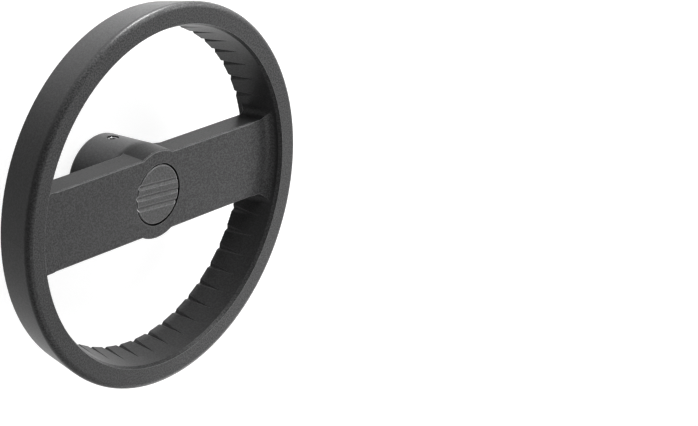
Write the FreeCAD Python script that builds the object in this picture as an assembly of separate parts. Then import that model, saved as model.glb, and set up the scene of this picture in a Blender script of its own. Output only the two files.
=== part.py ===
import FreeCAD, Part
import math
import os

# Two-spoke machine handwheel, lying on the end face of its hub with its front up.
# Millimetres, +Z up. The origin is the centre of the hub's end face, the Z axis is the wheel's
# axis, the spokes run along X and the grub screw lies along +Y.

# Rim: one ring, tapered inside and outside by the draft of the casting die
rim_radius = 80.0
rim_width = 9.5
rim_depth = 19.2
rim_taper_deg = 11.5
rim_inner_draft = 3.2
rim_front_round = 2.3
rim_back_chamfer = 1.0
rim_inner_chamfer_depth = 1.6
rim_inner_chamfer_width = 0.85

# Heights: the whole wheel, and how far the spokes lie below the rim's front
overall_height = 40.0
spoke_recess = 6.2
spoke_depth = 9.8

# Hub: widest at the parting line, level with the back of the spokes
hub_parting_radius = 19.2
hub_end_draft = 1.0
hub_front_draft = 0.6
hub_end_round = 2.4
bore_radius = 7.0
bore_chamfer = 0.6

# Spokes: one flat bar across the wheel, a little narrower than the hub and cored out from behind
spoke_inset = 2.1
spoke_side_draft = 0.5
spoke_edge_chamfer = 0.45
spoke_edge_fade = 5.0
spoke_wall = 3.6
spoke_skin = 3.4
window_corner_round = 3.5
web_front_round = 4.5
web_back_chamfer = 1.4
pocket_corner_round = 4.0
pocket_floor_chamfer = 1.0
pocket_draft = 0.3

# Finger flutes: V cuts in the rim's inner wall, deepest at the back edge and fading out
flute_pitch_deg = 7.5
flute_depth = 1.0
flute_width = 2.9
flute_reach = 12.5

# Seat of the cover cap in the hub's front, and the hollow below it for the axle's end screw
cap_radius = 12.4
cap_gap = 0.7
cap_thickness = 2.6
cap_ledge = 1.4
cavity_depth = 9.4

# Cover cap: a disc with three V grooves, and a slotted skirt that is pressed into the hollow
cap_edge_chamfer = 0.4
cap_turn_deg = -4.5
cap_groove_count = 3
cap_groove_pitch = 4.5
cap_groove_width = 2.3
cap_groove_depth = 0.75
skirt_length = 4.2
skirt_wall = 1.3
skirt_slot_count = 4
skirt_slot_width = 2.0

# Grub screw with a hexagon socket and a cup point, in a tapped hole across the hub
screw_height = 8.8
screw_radius = 2.5
screw_running_gap = 0.05
screw_length = 8.0
screw_below_surface = 0.7
screw_top_chamfer = 0.4
screw_socket_width = 2.5
screw_socket_depth = 3.0
screw_cup_radius = 1.25
screw_cup_depth = 0.6
screw_mouth_chamfer = 0.3

# Worked out from the sizes above
rim_inner_radius = rim_radius - rim_width
rim_inner_back_radius = rim_inner_radius - rim_inner_draft
hub_end_radius = hub_parting_radius - hub_end_draft
hub_front_radius = hub_parting_radius - hub_front_draft
spoke_half_width = hub_front_radius - spoke_inset
cavity_radius = cap_radius - cap_ledge
rim_back_z = overall_height - rim_depth
rim_chamfer_z = overall_height - rim_inner_chamfer_depth
spoke_front_z = overall_height - spoke_recess
spoke_back_z = spoke_front_z - spoke_depth
cap_seat_z = spoke_front_z - cap_thickness
cavity_floor_z = spoke_front_z - cavity_depth

# How far a cutting tool runs past the face that it cuts
past = 4.0

ORIGIN = FreeCAD.Vector(0, 0, 0)
X_AXIS = FreeCAD.Vector(1, 0, 0)
Y_AXIS = FreeCAD.Vector(0, 1, 0)
Z_AXIS = FreeCAD.Vector(0, 0, 1)


def vec(x, y, z):
    return FreeCAD.Vector(x, y, z)


def mix(a, b, share):
    return a + (b - a) * share


def outer_radius(z):
    """Radius of the rim's tapered outer wall at a height. Its front round is widest at rim_radius."""
    taper = math.radians(rim_taper_deg)
    centre_radius = rim_radius - rim_front_round
    centre_z = overall_height - rim_front_round
    return centre_radius + (rim_front_round + (z - centre_z) * math.sin(taper)) / math.cos(taper)


def wall_radius(z):
    """Radius of the rim's inner wall at a height."""
    share = (z - rim_back_z) / (rim_chamfer_z - rim_back_z)
    return mix(rim_inner_back_radius, rim_inner_radius, share)


def hub_radius(z):
    """Radius of the hub's outside at a height, on either side of the parting line."""
    if z < spoke_back_z:
        return mix(hub_end_radius, hub_parting_radius, z / spoke_back_z)
    return mix(hub_parting_radius, hub_front_radius, (z - spoke_back_z) / spoke_depth)


def spoke_half(z):
    """Half the spokes' width at a height: widest at their back, as the draft leaves it."""
    return spoke_half_width + spoke_side_draft * (spoke_front_z - z) / spoke_depth


def turned(profile, turn_deg=360):
    """A solid turned about the Z axis from a closed outline of (radius, height) pairs."""
    points = [vec(r, 0, z) for r, z in profile]
    points.append(points[0])
    face = Part.Face(Part.makePolygon(points))
    return face.revolve(ORIGIN, Z_AXIS, turn_deg)


def all_round(solid, count):
    """A solid and its copies at even steps about the Z axis, joined."""
    copies = []
    for k in range(1, count):
        copy = solid.copy()
        copy.rotate(ORIGIN, Z_AXIS, 360 / count * k)
        copies.append(copy)
    return solid.fuse(copies)


def drafted_block(low, high, sides):
    """A block between two heights, whose four sides at a height come from sides(z)."""
    outlines = []
    for z in (low, high):
        x0, x1, y0, y1 = sides(z)
        corners = [vec(x0, y0, z), vec(x1, y0, z), vec(x1, y1, z), vec(x0, y1, z)]
        outlines.append(Part.makePolygon(corners + [corners[0]]))
    return Part.makeLoft(outlines, True, True)


def ring_edges(shape, radius, z):
    """The circular edges of a given radius and height."""
    found = []
    for edge in shape.Edges:
        curve = edge.Curve
        if not isinstance(curve, Part.Circle):
            continue
        if abs(curve.Radius - radius) < 1e-4 and abs(curve.Center.z - z) < 1e-4:
            found.append(edge)
    return found


def upright_edges(shape, nearest, farthest):
    """The edges that run from the bottom of a shape to its top, between two distances from the axis."""
    found = []
    low, high = shape.BoundBox.ZMin, shape.BoundBox.ZMax
    for edge in shape.Edges:
        heights = sorted(vertex.Point.z for vertex in edge.Vertexes)
        if heights[0] > low + 1e-3 or heights[-1] < high - 1e-3:
            continue
        middle = edge.CenterOfMass
        if nearest < math.hypot(middle.x, middle.y) < farthest:
            found.append(edge)
    return found


def level_edges(shape, z):
    """The edges that lie wholly at one height."""
    return [edge for edge in shape.Edges
            if abs(edge.BoundBox.ZMin - z) < 1e-3 and abs(edge.BoundBox.ZMax - z) < 1e-3]


def rim():
    """The ring, with its front outer edge rounded. Quarter turns keep the mesh of that round light."""
    front_radius = outer_radius(overall_height)
    back_radius = outer_radius(rim_back_z)
    ring = all_round(turned([
        (front_radius, overall_height),
        (back_radius, rim_back_z),
        (rim_inner_back_radius, rim_back_z),
        (rim_inner_radius, rim_chamfer_z),
        (rim_inner_radius + rim_inner_chamfer_width, overall_height),
    ], 90), 4)
    ring = ring.makeFillet(rim_front_round, ring_edges(ring, front_radius, overall_height))
    return ring.makeChamfer(rim_back_chamfer, ring_edges(ring, back_radius, rim_back_z))


def hub():
    """The hub's solid outside, with its end edge rounded."""
    body = turned([
        (0, 0),
        (hub_end_radius, 0),
        (hub_parting_radius, spoke_back_z),
        (hub_front_radius, spoke_front_z),
        (0, spoke_front_z),
    ])
    return body.makeFillet(hub_end_round, ring_edges(body, hub_end_radius, 0))


def disc_web():
    """A full disc from the hub to the rim's inner wall. The windows open it into two spokes."""
    return turned([
        (0, spoke_back_z),
        (wall_radius(spoke_back_z), spoke_back_z),
        (wall_radius(spoke_front_z), spoke_front_z),
        (0, spoke_front_z),
    ])


def window(side):
    """The D-shaped opening beside the spokes, as the solid that is cut away."""
    low = spoke_back_z - past
    high = spoke_front_z + past
    inside = turned([(0, low), (wall_radius(low), low), (wall_radius(high), high), (0, high)])
    half = drafted_block(low, high, lambda z: (-rim_radius, rim_radius, spoke_half(z), rim_radius))
    core = turned([(0, low), (hub_radius(low), low), (hub_parting_radius, spoke_back_z),
                   (hub_radius(high), high), (0, high)])
    cutter = inside.common(half)
    corners = upright_edges(cutter, hub_parting_radius, rim_radius)
    cutter = cutter.makeFillet(window_corner_round, corners).cut(core)
    if side < 0:
        cutter = cutter.mirror(ORIGIN, Y_AXIS)
    return cutter


def pocket(side):
    """The hollow in the back of one spoke, which leaves it an even wall all round."""
    low = spoke_back_z - past
    floor = spoke_front_z - spoke_skin
    near = hub_parting_radius + spoke_wall
    far = wall_radius(spoke_back_z) - spoke_wall

    def narrowing(z):
        return pocket_draft * (z - spoke_back_z) / spoke_depth

    def sides(z):
        half = spoke_half(spoke_back_z) - spoke_wall - narrowing(z)
        return (0, rim_radius, -half, half)

    ring = turned([
        (near + narrowing(low), low),
        (far - narrowing(low), low),
        (far - narrowing(floor), floor),
        (near + narrowing(floor), floor),
    ])
    cutter = ring.common(drafted_block(low, floor, sides))
    cutter = cutter.makeFillet(pocket_corner_round, upright_edges(cutter, 0, rim_radius))
    cutter = cutter.makeChamfer(pocket_floor_chamfer, level_edges(cutter, floor))
    if side < 0:
        cutter = cutter.mirror(ORIGIN, X_AXIS)
    return cutter


def flute(angle_deg):
    """One V cut. Its bottom line starts below the wall's back edge and comes out of the wall in front."""
    start = vec(rim_inner_back_radius + flute_depth, 0, rim_back_z)
    end_z = rim_back_z + flute_reach
    along = vec(wall_radius(end_z), 0, end_z) - start
    start = start - along * (past / flute_reach)
    opening = flute_depth + past
    half = flute_width / 2 * opening / flute_depth
    corners = [start, start + vec(-opening, half, 0), start + vec(-opening, -half, 0)]
    tool = Part.Face(Part.makePolygon(corners + [corners[0]])).extrude(along * (1 + 2 * past / flute_reach))
    tool.rotate(ORIGIN, Z_AXIS, angle_deg)
    return tool


def flute_angles():
    """Even steps on both sides of each window's middle, as far as the window's corners leave room."""
    taken = spoke_half(rim_back_z) + window_corner_round + flute_width / 2
    edge_deg = math.degrees(math.asin(taken / rim_inner_back_radius))
    steps = int((90 - edge_deg) / flute_pitch_deg)
    return [middle + k * flute_pitch_deg for middle in (90, 270) for k in range(-steps, steps + 1)]


def hub_hollows():
    """The cap's seat, the hollow below it and the bore, as one turned tool."""
    seat_radius = cap_radius + cap_gap
    return turned([
        (0, -past),
        (bore_radius + bore_chamfer + past, -past),
        (bore_radius, bore_chamfer),
        (bore_radius, cavity_floor_z),
        (cavity_radius, cavity_floor_z),
        (cavity_radius, cap_seat_z),
        (seat_radius, cap_seat_z),
        (seat_radius, spoke_front_z + past),
        (0, spoke_front_z + past),
    ])


def across_hub(solid):
    """Stands a solid that was made along +Z at the origin along +Y instead, at the screw's height."""
    solid.rotate(ORIGIN, X_AXIS, -90)
    solid.translate(vec(0, 0, screw_height))
    return solid


def tapped_hole():
    """The hole for the grub screw, from the bore out through the hub, with a chamfered mouth."""
    radius = screw_radius + screw_running_gap
    surface = hub_radius(screw_height)
    tool = turned([
        (0, 0),
        (radius, 0),
        (radius, surface - screw_mouth_chamfer),
        (radius + screw_mouth_chamfer + past, surface + past),
        (0, surface + past),
    ])
    return across_hub(tool)


def corner_off(place):
    """What a chamfer takes off a square edge at (0, 0), drawn with place(outward, upward)."""
    c = spoke_edge_chamfer
    outline = [(-c, 0), (0, -c), (c, -c), (c, c), (-c, c), (-c, 0)]
    return Part.makePolygon([place(u, v) for u, v in outline])


def front_edge_cutter(side):
    """Chamfers the front edge along one window, from spoke to hub to spoke. It fades before the corners."""
    y, z = spoke_half_width, spoke_front_z
    hub_x = math.sqrt(hub_front_radius ** 2 - y ** 2)
    corner_y = y + window_corner_round
    end_x = math.sqrt((wall_radius(z) - window_corner_round) ** 2 - corner_y ** 2)
    full_x = end_x - spoke_edge_fade

    def section(x, lift):
        return corner_off(lambda u, v: vec(x, y + u + lift, z + v + lift))

    along_hub = Part.Arc(vec(-hub_x, y, z), vec(0, hub_front_radius, z), vec(hub_x, y, z)).toShape()
    left = Part.makeLine(vec(-full_x, y, z), vec(-hub_x, y, z))
    right = Part.makeLine(vec(hub_x, y, z), vec(full_x, y, z))
    mitred = 1
    cutter = Part.Wire([left, along_hub, right]).makePipeShell([section(-full_x, 0)], True, False, mitred)
    for end in (-1, 1):
        fade = Part.makeLoft([section(end * full_x, 0), section(end * end_x, spoke_edge_chamfer)], True, True)
        cutter = cutter.fuse(fade)
    if side < 0:
        cutter = cutter.mirror(ORIGIN, Y_AXIS)
    return cutter


def wheel_casting():
    """Rim, spokes and hub in one piece."""
    body = rim().fuse(disc_web().fuse(hub()).removeSplitter())
    body = body.makeFillet(web_front_round, ring_edges(body, wall_radius(spoke_front_z), spoke_front_z))
    inner_edges = ring_edges(body, wall_radius(spoke_back_z), spoke_back_z)
    inner_edges += ring_edges(body, hub_parting_radius, spoke_back_z)
    body = body.makeChamfer(web_back_chamfer, inner_edges)
    body = body.cut([window(1), window(-1)])
    body = body.cut([front_edge_cutter(1), front_edge_cutter(-1)])
    body = body.cut([pocket(1), pocket(-1), hub_hollows(), tapped_hole()])
    return body.cut([flute(angle) for angle in flute_angles()])


def cap_groove(offset):
    """One V groove across the cap's face, as the solid that is cut away."""
    opening = cap_groove_depth + past
    half = cap_groove_width / 2 * opening / cap_groove_depth
    bottom = spoke_front_z - cap_groove_depth
    corners = [
        vec(-cap_radius - past, offset, bottom),
        vec(-cap_radius - past, offset + half, bottom + opening),
        vec(-cap_radius - past, offset - half, bottom + opening),
    ]
    face = Part.Face(Part.makePolygon(corners + [corners[0]]))
    return face.extrude(vec(2 * (cap_radius + past), 0, 0))


def skirt_slot(angle_deg):
    """One gap in the skirt, so that its fingers can bend."""
    slot = Part.makeBox(cap_radius, skirt_slot_width, skirt_length,
                        vec(0, -skirt_slot_width / 2, cap_seat_z - skirt_length))
    slot.rotate(ORIGIN, Z_AXIS, angle_deg)
    return slot


def cover_cap():
    """The moulded cap that closes the hub's front."""
    disc = Part.makeCylinder(cap_radius, cap_thickness, vec(0, 0, cap_seat_z))
    disc = disc.makeChamfer(cap_edge_chamfer, ring_edges(disc, cap_radius, spoke_front_z))
    low = cap_seat_z - skirt_length
    skirt = Part.makeCylinder(cavity_radius, skirt_length, vec(0, 0, low))
    skirt = skirt.cut(Part.makeCylinder(cavity_radius - skirt_wall, skirt_length, vec(0, 0, low)))
    skirt = skirt.cut([skirt_slot(360 / skirt_slot_count * k) for k in range(skirt_slot_count)])
    middle = (cap_groove_count - 1) / 2
    grooves = [cap_groove(cap_groove_pitch * (k - middle)) for k in range(cap_groove_count)]
    cap = disc.cut(grooves).fuse(skirt)
    cap.rotate(ORIGIN, Z_AXIS, cap_turn_deg)
    return cap


def grub_screw():
    """The screw, made point down along +Z and then laid across the hub, point inward."""
    top = hub_radius(screw_height) - screw_below_surface
    tip = top - screw_length
    shoulder = tip + screw_radius - screw_cup_radius
    body = turned([
        (0, tip + screw_cup_depth),
        (screw_cup_radius, tip),
        (screw_radius, shoulder),
        (screw_radius, top - screw_top_chamfer),
        (screw_radius - screw_top_chamfer, top),
        (0, top),
    ])
    corner = screw_socket_width / math.sqrt(3)
    points = []
    for k in range(6):
        turn = math.radians(60 * k)
        points.append(vec(corner * math.cos(turn), corner * math.sin(turn), top - screw_socket_depth))
    socket = Part.Face(Part.makePolygon(points + [points[0]])).extrude(vec(0, 0, screw_socket_depth))
    return across_hub(body.cut(socket))


def save(name, shape):
    shape.exportStep("parts/" + name + ".step")
    box = shape.BoundBox
    print(name, "solids", len(shape.Solids), "valid", shape.isValid(), "mm3", round(shape.Volume, 1),
          "z", round(box.ZMin, 2), round(box.ZMax, 2))


os.makedirs("parts", exist_ok=True)
save("wheel_casting", wheel_casting())
save("cover_cap", cover_cap())
save("grub_screw", grub_screw())
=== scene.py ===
# %% [markdown]
# A machine handwheel: one black casting, a moulded cap in its hub and a grub screw across it.
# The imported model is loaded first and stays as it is. Every piece and every finish is fitted
# to it, in metres, in the same frame: the wheel lies on the end face of its hub, front up.

# %% Load the frame
import math

import bmesh
import bpy
from mathutils import Matrix, Vector


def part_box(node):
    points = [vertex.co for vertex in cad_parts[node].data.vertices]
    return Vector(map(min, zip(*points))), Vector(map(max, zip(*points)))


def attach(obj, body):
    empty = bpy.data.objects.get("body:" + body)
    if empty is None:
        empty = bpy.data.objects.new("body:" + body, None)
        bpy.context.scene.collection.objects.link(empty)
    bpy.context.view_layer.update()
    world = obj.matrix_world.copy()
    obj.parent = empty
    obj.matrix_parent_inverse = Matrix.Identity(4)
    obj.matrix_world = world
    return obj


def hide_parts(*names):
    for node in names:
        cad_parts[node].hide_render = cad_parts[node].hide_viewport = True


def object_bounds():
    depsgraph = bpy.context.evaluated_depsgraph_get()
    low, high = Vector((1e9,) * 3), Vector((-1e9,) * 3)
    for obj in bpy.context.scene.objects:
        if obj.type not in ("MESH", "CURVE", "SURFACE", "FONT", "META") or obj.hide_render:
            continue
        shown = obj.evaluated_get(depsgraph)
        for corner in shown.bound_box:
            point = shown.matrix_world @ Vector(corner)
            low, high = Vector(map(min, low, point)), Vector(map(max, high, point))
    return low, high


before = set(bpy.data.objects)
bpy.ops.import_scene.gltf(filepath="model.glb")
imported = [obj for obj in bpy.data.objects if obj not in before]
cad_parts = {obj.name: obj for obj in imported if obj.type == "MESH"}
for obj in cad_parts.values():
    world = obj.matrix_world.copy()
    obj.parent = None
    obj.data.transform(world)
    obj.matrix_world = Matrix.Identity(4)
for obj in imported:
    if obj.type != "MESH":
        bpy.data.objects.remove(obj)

CAD_LOW, CAD_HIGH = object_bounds()
MM = 0.001
print("solids from", tuple(CAD_LOW), "to", tuple(CAD_HIGH))

# %% [markdown]
# Shader maths reads best as maths. A small class wraps one socket of a node tree, and Python's
# own operators on it add the Math nodes. Every other node comes from one method, add, which
# makes its settings first, because some of them change which sockets the node has.

# %% The Field class


class Field:
    """One socket of a shader's node tree, for expressions such as 1 - mask * 0.3."""

    def __init__(self, tree, socket=None):
        self.tree = tree
        self.socket = socket

    def add(self, kind, settings=None, sockets=None, out=0):
        """Adds a node and gives one of its outputs. Sockets take values or other fields."""
        node = self.tree.nodes.new(kind)
        for name, value in (settings or {}).items():
            setattr(node, name, value)
        for name, value in (sockets or {}).items():
            if isinstance(value, Field):
                self.tree.links.new(value.socket, node.inputs[name])
            else:
                node.inputs[name].default_value = value
        return Field(self.tree, node.outputs[out])

    def maths(self, operation, *values):
        """One Math node in the same tree, on numbers and fields."""
        settings = {"operation": operation}
        return self.add("ShaderNodeMath", settings, dict(enumerate(values)))

    def __add__(self, other):
        return self.maths("ADD", self, other)

    def __radd__(self, other):
        return self.maths("ADD", other, self)

    def __sub__(self, other):
        return self.maths("SUBTRACT", self, other)

    def __rsub__(self, other):
        return self.maths("SUBTRACT", other, self)

    def __mul__(self, other):
        return self.maths("MULTIPLY", self, other)

    def __truediv__(self, other):
        return self.maths("DIVIDE", self, other)

    def smooth(self, low, high):
        """0 below low, 1 above high, and a soft step between. low may be above high."""
        settings = {"interpolation_type": "SMOOTHSTEP"}
        sockets = {"Value": self, "From Min": low, "From Max": high}
        return self.add("ShaderNodeMapRange", settings, sockets)

    def between(self, low, high):
        """low where this field is 0 and high where it is 1."""
        return low + self * (high - low)


def mix_colours(factor, first, second):
    """A colour between two. Each is linear RGB or another field."""
    ends = [end if isinstance(end, Field) else (*end, 1.0) for end in (first, second)]
    sockets = {0: factor, 6: ends[0], 7: ends[1]}
    return factor.add("ShaderNodeMix", {"data_type": "RGBA"}, sockets, out=2)


# %% The start of each material


def new_material(name):
    """A node material with shader and output. Gives it, a field of its tree and the shader."""
    material = bpy.data.materials.new(name)
    material.use_nodes = True
    tree = material.node_tree
    tree.nodes.clear()
    shader = tree.nodes.new("ShaderNodeBsdfPrincipled")
    output = tree.nodes.new("ShaderNodeOutputMaterial")
    tree.links.new(shader.outputs["BSDF"], output.inputs["Surface"])
    return material, Field(tree), shader


def feed(shader, **inputs):
    """Sets or links the shader's sockets. An underscore stands for a space in a name."""
    tree = shader.id_data
    for name, value in inputs.items():
        socket = shader.inputs[name.replace("_", " ")]
        if isinstance(value, Field):
            tree.links.new(value.socket, socket)
        else:
            socket.default_value = value


def place_of(field):
    """Object coordinates, and their X, Y and Z."""
    place = field.add("ShaderNodeTexCoord", out=3)
    parts = [place.add("ShaderNodeSeparateXYZ", sockets={0: place}, out=k) for k in range(3)]
    return place, parts


def noise(place, scale, detail=2.0, roughness=0.5):
    """0 to 1 in soft clouds, scale of them to the metre."""
    sockets = {"Vector": place, "Scale": scale, "Detail": detail, "Roughness": roughness}
    return place.add("ShaderNodeTexNoise", sockets=sockets)


def rounded_bump(height, radius, distance, strength=1.0, samples=6):
    """A normal that follows a height, over sharp edges rounded by a radius."""
    rounded = height.add("ShaderNodeBevel", {"samples": samples}, {"Radius": radius})
    sockets = {"Strength": strength, "Distance": distance, "Height": height, "Normal": rounded}
    return height.add("ShaderNodeBump", sockets=sockets)


# %% [markdown]
# The casting is coated with a textured powder. In the light that shows as a fine, even grain
# about half a millimetre wide, which catches light on its crests, with a dull sheen. The faces
# that look to the front show it most. The walls left the die along their length, so they are
# smoother. Bump gives the grain, because it is far too fine for geometry. A Bevel node rounds
# every sharp edge a little, as the coat does. Those edges get a painted highlight: a paler
# colour that shows as thin light lines. Ambient occlusion looking into the solid finds them,
# and slope and height find the upper half of the front chamfer on spokes and hub, painted
# fainter.
#
# The bore and the hub's end face are turned after coating, so they are bare aluminium. The grub
# screw's hole is coated round its mouth and its thread is bare below that. Masks made from the
# place on the part find all of these. The thread and the marks of the lathe are bump too. Hardly
# any light comes back out of the narrow gap round the cap, so its walls get a painted shade,
# nearly black.

# %% Where the casting is machined
SCREW_LOW, SCREW_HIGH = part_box("grub_screw")
SCREW_HEIGHT = (SCREW_LOW[2] + SCREW_HIGH[2]) / 2
THREAD_PITCH = 0.8 * MM
BORE_MOUTH_RADIUS = 7.7 * MM
BORE_TOP = 24.4 * MM
END_FACE_RADIUS = 16.0 * MM
END_FACE_FADE = (0.06 * MM, 0.02 * MM)
HOLE_RADIUS = 2.6 * MM
BARE_DEPTH = 0.4 * MM
CAP_RADIUS = 12.4 * MM
SEAT_RADIUS = 13.1 * MM
HUB_FRONT = 33.8 * MM
STEP = 0.1 * MM
print("screw from", tuple(SCREW_LOW), "to", tuple(SCREW_HIGH))


def length_of(a, b):
    return a.maths("SQRT", a * a + b * b)


def machined_masks(parts):
    """Three masks: the turned surfaces, the tapped hole, and the part of it that is bare."""
    x, y, z = parts
    radius = length_of(x, y)
    in_bore = radius.smooth(BORE_MOUTH_RADIUS, BORE_MOUTH_RADIUS - STEP)
    bore = in_bore * z.smooth(BORE_TOP, BORE_TOP - STEP)
    face = radius.smooth(END_FACE_RADIUS, END_FACE_RADIUS - STEP) * z.smooth(*END_FACE_FADE)
    turned = bore.maths("MAXIMUM", bore, face)
    from_axis = length_of(x, z - SCREW_HEIGHT)
    tapped = from_axis.smooth(HOLE_RADIUS, HOLE_RADIUS - 0.3 * STEP) * y.smooth(0, STEP)
    below = SCREW_HIGH[1] - BARE_DEPTH
    return turned, tapped, tapped * y.smooth(below + STEP, below)


def gap_shade(parts):
    """1 on both walls of the narrow gap round the cap, 0 on every face that sees the room."""
    x, y, z = parts
    radius = length_of(x, y)
    beyond_cap = radius.smooth(CAP_RADIUS - STEP, CAP_RADIUS)
    within_seat = radius.smooth(SEAT_RADIUS + STEP, SEAT_RADIUS)
    below_front = z.smooth(HUB_FRONT - 0.1 * STEP, HUB_FRONT - 0.6 * STEP)
    return beyond_cap * within_seat * below_front * z.smooth(BORE_TOP, BORE_TOP + STEP)


def thread_height(parts):
    """0 to 1 and back along the tapped hole's wall, once for each pitch."""
    x, y, z = parts
    turn = x.maths("ARCTAN2", x, z - SCREW_HEIGHT) / (2 * math.pi)
    along = y / THREAD_PITCH - turn
    return along.maths("PINGPONG", along * 2, 1.0)


# %% Colours and grain of the coat
COAT_SHINE = 0.15
COAT_DARK = (0.020, 0.020, 0.0204)
COAT_LIGHT = (0.074, 0.074, 0.0752)
ALUMINIUM = (0.72, 0.73, 0.74)
COAT_GRAIN_SCALE = 1500.0
COAT_GRAIN_STEP = (0.36, 0.66)
COAT_GRAIN_HEIGHT = 0.08 * MM
COAT_PATCH_SCALE = 45.0
ROUNDING = 0.15 * MM
SIDE_GRAIN = 0.40
FRONT_TILT = (0.15, 0.60)
LATHE_RIPPLES = 9000.0
LATHE_MARK_HEIGHT = 0.1
THREAD_MARK_HEIGHT = 6.0
# The next colour is a painted highlight on sharp edges and on the front chamfer.
COAT_EDGE_HIGHLIGHT = (0.36, 0.36, 0.363)
EDGE_REACH = 0.14 * MM
EDGE_NONE = 0.98
EDGE_FULL = 0.70
CHAMFER_HIGHLIGHT_SHARE = 0.28
CHAMFER_FOOT = 33.6 * MM
# The next colour is painted shade: the walls of the narrow gap round the cap, nearly black.
GAP_PAINTED_SHADE = (0.002, 0.002, 0.002)

# %% Which way the coat faces, and its edges


def facing(field):
    """The normal's Z: 1 on faces that look to the front, 0 on upright walls, -1 at the back."""
    normal = field.add("ShaderNodeTexCoord", out=1)
    return normal.add("ShaderNodeSeparateXYZ", sockets={0: normal}, out=2)


def front_share(field):
    """1 where the surface faces the front or the back, 0 on the walls."""
    z = facing(field)
    return z.maths("ABSOLUTE", z).smooth(*FRONT_TILT)


def front_chamfer(field, parts):
    """1 on the upper half of the narrow chamfer round the front of the spokes and the hub."""
    tilt = facing(field)
    z = parts[2]
    sloping = tilt.smooth(0.50, 0.60) * tilt.smooth(0.92, 0.82)
    below_front = z.smooth(HUB_FRONT + STEP, HUB_FRONT)
    return sloping * z.smooth(CHAMFER_FOOT - STEP, CHAMFER_FOOT) * below_front


def sharp_edge(field, reach):
    """1 on a sharp outward edge, where rays into the solid come out again within the reach."""
    settings = {"inside": True, "only_local": True, "samples": 12}
    inside = field.add("ShaderNodeAmbientOcclusion", settings, {"Distance": reach}, out=1)
    return inside.smooth(EDGE_NONE, EDGE_FULL)


# %% The textured coat


def textured_coat():
    material, field, shader = new_material("powder_coat")
    place, parts = place_of(field)
    turned, tapped, bare_thread = machined_masks(parts)
    bare = turned.maths("MAXIMUM", turned, bare_thread)
    coarse = front_share(field).between(SIDE_GRAIN, 1.0)
    grain = noise(place, COAT_GRAIN_SCALE, detail=2.5, roughness=0.55)
    patches = noise(place, COAT_PATCH_SCALE)
    crest = (grain.smooth(*COAT_GRAIN_STEP) - 0.5) * coarse + 0.5
    coat = mix_colours(crest * 0.85 + (patches - 0.5) * 0.3 + 0.08, COAT_DARK, COAT_LIGHT)
    # Painted highlight: the upper half of the front chamfer and every sharp edge get a paler
    # colour.
    chamfer_highlight = front_chamfer(field, parts) * CHAMFER_HIGHLIGHT_SHARE
    edges = chamfer_highlight.maths("MAXIMUM", chamfer_highlight, sharp_edge(field, EDGE_REACH))
    with_edge_highlights = mix_colours(edges, coat, COAT_EDGE_HIGHLIGHT)
    # Painted shade: both walls of the gap round the cap are coloured nearly black.
    shaded = mix_colours(gap_shade(parts), with_edge_highlights, GAP_PAINTED_SHADE)
    colour = mix_colours(bare, shaded, ALUMINIUM)
    lathe = length_of(parts[0], parts[1]) * LATHE_RIPPLES
    lathe_marks = lathe.maths("SINE", lathe) * turned * LATHE_MARK_HEIGHT
    thread_marks = thread_height(parts) * tapped * THREAD_MARK_HEIGHT
    height = grain * coarse * (1 - bare) + (lathe_marks + thread_marks)
    bump = rounded_bump(height, ROUNDING, COAT_GRAIN_HEIGHT)
    roughness = crest.between(0.40, 0.30)
    feed(shader, Base_Color=colour, Roughness=roughness, Metallic=bare, Normal=bump)
    shader.inputs["Specular IOR Level"].default_value = COAT_SHINE
    return material


# %% [markdown]
# The cap is moulded in black plastic, with the tone of the coat, a softer grain and the same
# painted highlight on its edges and on the edges of its grooves. The grub screw is blackened
# steel, a dark metal with a faint cloud in it, and a painted highlight brightens its outer end.
# Painted pictures could give both finishes, but noise at a point's own place needs no file and no
# seam.

# %% The cap's plastic
PLASTIC_DARK = (0.004, 0.004, 0.004)
PLASTIC_LIGHT = (0.087, 0.087, 0.088)
# The next colour is a painted highlight on the cap's sharp edges and groove edges.
PLASTIC_EDGE_HIGHLIGHT = (0.60, 0.60, 0.606)
PLASTIC_SHINE = 0.3
PLASTIC_GRAIN_SCALE = 1300.0
PLASTIC_GRAIN_STEP = (0.35, 0.7)
PLASTIC_GRAIN_HEIGHT = 0.07 * MM
PLASTIC_PATCH_SCALE = 120.0
CAP_EDGE_REACH = 3 * EDGE_REACH


def moulded_plastic():
    material, field, shader = new_material("cap_plastic")
    place, parts = place_of(field)
    grain = noise(place, PLASTIC_GRAIN_SCALE)
    patches = noise(place, PLASTIC_PATCH_SCALE)
    tone = grain.smooth(*PLASTIC_GRAIN_STEP) * 0.6 + patches * 0.4
    plain = mix_colours(tone, PLASTIC_DARK, PLASTIC_LIGHT)
    # Painted highlight: the cap's sharp edges get a paler colour.
    with_edge_highlights = mix_colours(sharp_edge(field, CAP_EDGE_REACH), plain, PLASTIC_EDGE_HIGHLIGHT)
    # Painted shade: the cap's side in the gap round it is coloured nearly black.
    colour = mix_colours(gap_shade(parts), with_edge_highlights, GAP_PAINTED_SHADE)
    bump = rounded_bump(grain, ROUNDING, PLASTIC_GRAIN_HEIGHT)
    feed(shader, Base_Color=colour, Roughness=tone.between(0.50, 0.40), Normal=bump)
    shader.inputs["Specular IOR Level"].default_value = PLASTIC_SHINE
    return material


# %% The screw's steel
STEEL_DARK = (0.030, 0.031, 0.034)
STEEL_LIGHT = (0.085, 0.086, 0.092)
# The next colour is a painted highlight on the screw's outer end.
STEEL_TOP_HIGHLIGHT = (0.24, 0.24, 0.245)
STEEL_CLOUD_SCALE = 900.0
STEEL_CLOUD_HEIGHT = 0.01 * MM
STEEL_ROUNDING = 0.08 * MM


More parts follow.
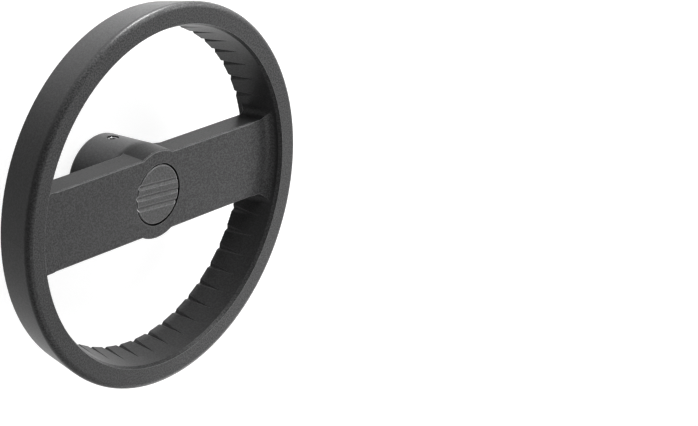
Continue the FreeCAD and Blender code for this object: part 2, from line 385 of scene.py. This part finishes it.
def blackened_steel():
    material, field, shader = new_material("screw_steel")
    place, parts = place_of(field)
    cloud = noise(place, STEEL_CLOUD_SCALE, detail=3.0)
    black = mix_colours(cloud, STEEL_DARK, STEEL_LIGHT)
    # Painted highlight: the screw's outer end is coloured brighter.
    top_highlight = parts[1].smooth(SCREW_HIGH[1] - 3 * STEP, SCREW_HIGH[1] - 2 * STEP)
    colour = mix_colours(top_highlight, black, STEEL_TOP_HIGHLIGHT)
    bump = rounded_bump(cloud, STEEL_ROUNDING, STEEL_CLOUD_HEIGHT, strength=0.6, samples=4)
    roughness = cloud.between(0.42, 0.28)
    feed(shader, Base_Color=colour, Metallic=0.85, Roughness=roughness, Normal=bump)
    return material


# %% [markdown]
# The solids' grub screw is plain outside, so a threaded one takes its place. It is made as on a
# machine: one pitch of the thread's outline is wound round the axis, the ends are cut square,
# and then the whole is turned down to a cone at the point and to a chamfer at the outer end.
# The hexagon socket is broached into it last, which is a boolean with a six-sided cutter.

# %% Sizes of the screw
SCREW_RADIUS = (SCREW_HIGH[0] - SCREW_LOW[0]) / 2
SCREW_TIP = SCREW_LOW[1]
SCREW_TOP = SCREW_HIGH[1]
THREAD_DEPTH = 0.49 * MM
THREAD_CREST = 0.10 * MM
THREAD_FLANK = 0.283 * MM
THREAD_STEPS = 36
CUP_RADIUS = 1.25 * MM
CUP_DEPTH = 0.6 * MM
TOP_RADIUS = 1.95 * MM
SOCKET_WIDTH = 2.5 * MM
SOCKET_DEPTH = 3.0 * MM
DRILL_RADIUS = 1.2 * MM
DRILL_DEPTH = 0.6 * MM
SINK_WIDTH = 0.10 * MM
SINK_DEPTH = 0.25 * MM
CLEAR_OF_TOP = 0.95 * MM
OVERLAP = 0.01 * MM
MERGE_DISTANCE = 0.002 * MM
SHARP_ANGLE = math.radians(28)
print("thread turns", round((SCREW_TOP - SCREW_TIP) / THREAD_PITCH, 1))

# %% Wind the thread


def wind_thread(bm):
    """Winds one pitch of the outline up the axis, from below the tip to above the top."""
    root = SCREW_RADIUS - THREAD_DEPTH
    start = SCREW_TIP - THREAD_PITCH
    crest_end = THREAD_FLANK + THREAD_CREST
    outline = [(root, 0), (SCREW_RADIUS, THREAD_FLANK), (SCREW_RADIUS, crest_end),
               (root, crest_end + THREAD_FLANK), (root, THREAD_PITCH)]
    verts = [bm.verts.new((radius, start + along, 0)) for radius, along in outline]
    edges = [bm.edges.new(pair) for pair in zip(verts, verts[1:])]
    turns = math.ceil((SCREW_TOP - SCREW_TIP) / THREAD_PITCH) + 2
    bmesh.ops.spin(bm, geom=verts + edges, cent=(0, 0, 0), axis=(0, 1, 0), use_merge=False,
                   dvec=(0, THREAD_PITCH / THREAD_STEPS, 0),
                   angle=2 * math.pi * turns, steps=turns * THREAD_STEPS)
    bmesh.ops.remove_doubles(bm, verts=bm.verts, dist=MERGE_DISTANCE)


def cut_square(bm, level, away):
    """Cuts off what lies beyond a level on the axis and gives the edges of the cut. away is +1 or
    -1.
    """
    geometry = bm.verts[:] + bm.edges[:] + bm.faces[:]
    cut = bmesh.ops.bisect_plane(bm, geom=geometry, dist=1e-7, plane_co=(0, level, 0),
                                 plane_no=(0, away, 0), clear_outer=True)
    return [item for item in cut["geom_cut"] if isinstance(item, bmesh.types.BMEdge)]


def turn_down(bm):
    """Brings every point that stands out of the turned shape back to it."""
    for vert in bm.verts:
        along = vert.co.y
        most = min(SCREW_RADIUS, CUP_RADIUS + along - SCREW_TIP, TOP_RADIUS + SCREW_TOP - along)
        radius = math.hypot(vert.co.x, vert.co.z)
        if radius > most:
            vert.co.x *= most / radius
            vert.co.z *= most / radius


# %% Make the threaded blank


def threaded_blank():
    bm = bmesh.new()
    wind_thread(bm)
    tip_edges = cut_square(bm, SCREW_TIP, -1)
    top_edges = cut_square(bm, SCREW_TOP, 1)
    turn_down(bm)
    bmesh.ops.edgeloop_fill(bm, edges=top_edges)
    cup = bmesh.ops.edgeloop_fill(bm, edges=tip_edges)["faces"]
    middle = bmesh.ops.poke(bm, faces=cup)["verts"][0]
    middle.co = (0, SCREW_TIP + CUP_DEPTH, 0)
    bmesh.ops.recalc_face_normals(bm, faces=bm.faces)
    bmesh.ops.translate(bm, verts=bm.verts, vec=(0, 0, SCREW_HEIGHT))
    open_edges = sum(edge.is_boundary for edge in bm.edges)
    print("blank: faces", len(bm.faces), "open edges", open_edges)
    return bm


# %% Broach the socket


def object_from(bm, name):
    mesh = bpy.data.meshes.new(name)
    bm.to_mesh(mesh)
    bm.free()
    piece = bpy.data.objects.new(name, mesh)
    bpy.context.scene.collection.objects.link(piece)
    return piece


def cone_along_y(name, sides, low_radius, high_radius, low, high):
    """A closed cone or prism round the screw's axis, to cut with."""
    bm = bmesh.new()
    turn = Matrix.Rotation(-math.pi / 2, 4, "X")
    place = Matrix.Translation((0, (low + high) / 2, SCREW_HEIGHT))
    bmesh.ops.create_cone(bm, cap_ends=True, segments=sides, radius1=low_radius,
                          radius2=high_radius, depth=high - low, matrix=place @ turn)
    return object_from(bm, name)


def cut_with(piece, cutter):
    """Takes the cutter's shape out of the piece, and the cutter out of the scene."""
    boolean = piece.modifiers.new("cut", "BOOLEAN")
    boolean.operation = "DIFFERENCE"
    boolean.solver = "EXACT"
    boolean.object = cutter
    shape = piece.evaluated_get(bpy.context.evaluated_depsgraph_get())
    piece.data = bpy.data.meshes.new_from_object(shape)
    piece.modifiers.clear()
    bpy.data.objects.remove(cutter)


def grub_screw(finish):
    screw = object_from(threaded_blank(), "threaded_grub_screw")
    corner = SOCKET_WIDTH / math.sqrt(3)
    mouth = corner + SINK_WIDTH
    sink = SCREW_TOP - SINK_DEPTH
    floor = SCREW_TOP - SOCKET_DEPTH
    above = SCREW_TOP + CLEAR_OF_TOP
    cutters = [
        ("hexagon", 6, corner, corner, floor, above),
        ("drill_point", 24, 0, DRILL_RADIUS, floor - DRILL_DEPTH, floor + OVERLAP),
        ("countersink", 36, mouth - SINK_DEPTH, mouth + CLEAR_OF_TOP, sink, above),
    ]
    for cutter in cutters:
        cut_with(screw, cone_along_y(*cutter))
    screw.data.materials.clear()
    screw.data.materials.append(finish)
    screw.data.shade_smooth()
    screw.data.set_sharp_from_angle(angle=SHARP_ANGLE)
    return screw


# %% Give the solids their finishes
FINISHES = {
    "wheel_casting": textured_coat(),
    "cover_cap": moulded_plastic(),
    "grub_screw": blackened_steel(),
}
for node_name, finish in FINISHES.items():
    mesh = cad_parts[node_name].data
    mesh.materials.clear()
    mesh.materials.append(finish)
    print(node_name, "wears", finish.name)
screw = grub_screw(FINISHES["grub_screw"])
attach(screw, "screw")
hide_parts("grub_screw")
print("screw: faces", len(screw.data.polygons))

# %% [markdown]
# The photograph's camera looks from the front, a little above the spokes, and is turned so that
# the wheel stands upright. The lens is long. The camera's axes are written as directions in the
# wheel's frame, and the film's middle is the photograph's middle.

# %% Camera
EYE = Vector((-0.72602, 0.35540, 0.67884))
CAMERA_RIGHT = Vector((0.61352, 0.03762, 0.78879))
CAMERA_UP = Vector((0.25369, 0.93653, -0.24198))
LENS_MM = 132.16
SENSOR_MM = 36.0
CLIP_NEAR = 0.05
CLIP_FAR = 30.0


def make_camera():
    data = bpy.data.cameras.new("camera")
    data.sensor_width = SENSOR_MM
    data.lens = LENS_MM
    data.clip_start = CLIP_NEAR
    data.clip_end = CLIP_FAR
    camera = bpy.data.objects.new("camera", data)
    bpy.context.scene.collection.objects.link(camera)
    right = CAMERA_RIGHT.normalized()
    back = right.cross(CAMERA_UP).normalized()
    up = back.cross(right)
    turn = Matrix((right, up, back)).transposed()
    camera.matrix_world = Matrix.Translation(EYE) @ turn.to_4x4()
    bpy.context.scene.camera = camera


make_camera()
print("camera at", tuple(EYE))

# %% [markdown]
# The object was photographed in a white tent, so every side of it sees something pale, and its
# mirrored rays meet white. Two large lamps in front light its faces. A strip and four small lamps
# stand close to its upper and right sides, because there the light falls off across the wheel.
# The floor is white to the camera and in reflections but still takes the object's shadow.

# %% World and floor
WORLD_STRENGTH = 0.05
FLOOR_SIZE = 12.0
FLOOR_PAINT = (0.4, 0.4, 0.4, 1)
FLOOR_GLOW = 0.85


def sees_white(field):
    """1 for rays that meet a white background: the camera's, and mirrored or refracted ones."""
    paths = field.tree.nodes.new("ShaderNodeLightPath")
    rays = [Field(field.tree, paths.outputs[name])
            for name in ("Is Camera Ray", "Is Glossy Ray", "Is Transmission Ray")]
    return rays[0].maths("MAXIMUM", rays[0], rays[0].maths("MAXIMUM", rays[1], rays[2]))


def make_world():
    world = bpy.data.worlds.new("tent")
    world.use_nodes = True
    tree = world.node_tree
    tree.nodes.clear()
    field = Field(tree)
    strength = sees_white(field).between(WORLD_STRENGTH, 1.0)
    sockets = {"Color": (1, 1, 1, 1), "Strength": strength}
    background = field.add("ShaderNodeBackground", sockets=sockets)
    output = tree.nodes.new("ShaderNodeOutputWorld")
    tree.links.new(background.socket, output.inputs["Surface"])
    bpy.context.scene.world = world


def make_floor():
    bpy.ops.mesh.primitive_plane_add(size=FLOOR_SIZE, location=(0, 0, CAD_LOW.z))
    floor = bpy.context.object
    floor.name = "floor"
    material = bpy.data.materials.new("pale_floor")
    material.use_nodes = True
    tree = material.node_tree
    tree.nodes.clear()
    field = Field(tree)
    paint = field.add("ShaderNodeBsdfDiffuse", sockets={"Color": FLOOR_PAINT})
    glow = field.add("ShaderNodeEmission", sockets={"Strength": sees_white(field) * FLOOR_GLOW})
    both = field.add("ShaderNodeAddShader", sockets={0: paint, 1: glow})
    output = tree.nodes.new("ShaderNodeOutputMaterial")
    tree.links.new(both.socket, output.inputs["Surface"])
    floor.data.materials.append(material)


# %% Lamps
AIM = Vector((0, 0, 0.03))
LAMPS = {
    "front_below": ((-0.14, -0.79, 1.18), (0.90, 0.90), 5.65),
    "front_right": ((0.99, 0.00, 1.02), (0.90, 0.90), 3.10),
    "top_strip": ((0.25, 0.60, 0.016), (0.25, 0.03), 8.34),
    "top_near": ((0.10, 0.30, 0.12), (0.20, 0.20), 0.78),
    "upper_right_near": ((0.32, 0.22, 0.25), (0.20, 0.20), 0.80),
    "lower_right_near": ((0.30, -0.32, 0.10), (0.20, 0.20), 0.39),
    "right_near": ((0.42, -0.25, 0.22), (0.20, 0.20), 0.28),
}


def make_lamp(name, place, size, watts):
    """A soft lamp that stands at a place and faces the wheel."""
    data = bpy.data.lights.new(name, "AREA")
    data.shape = "ELLIPSE"
    data.size, data.size_y = size
    data.energy = watts
    lamp = bpy.data.objects.new(name, data)
    bpy.context.scene.collection.objects.link(lamp)
    lamp.location = place
    lamp.rotation_euler = (AIM - lamp.location).to_track_quat("-Z", "Y").to_euler()


make_world()
make_floor()
for lamp_name, (place, size, watts) in LAMPS.items():
    make_lamp(lamp_name, place, size, watts)
bpy.context.scene.view_settings.view_transform = "Standard"
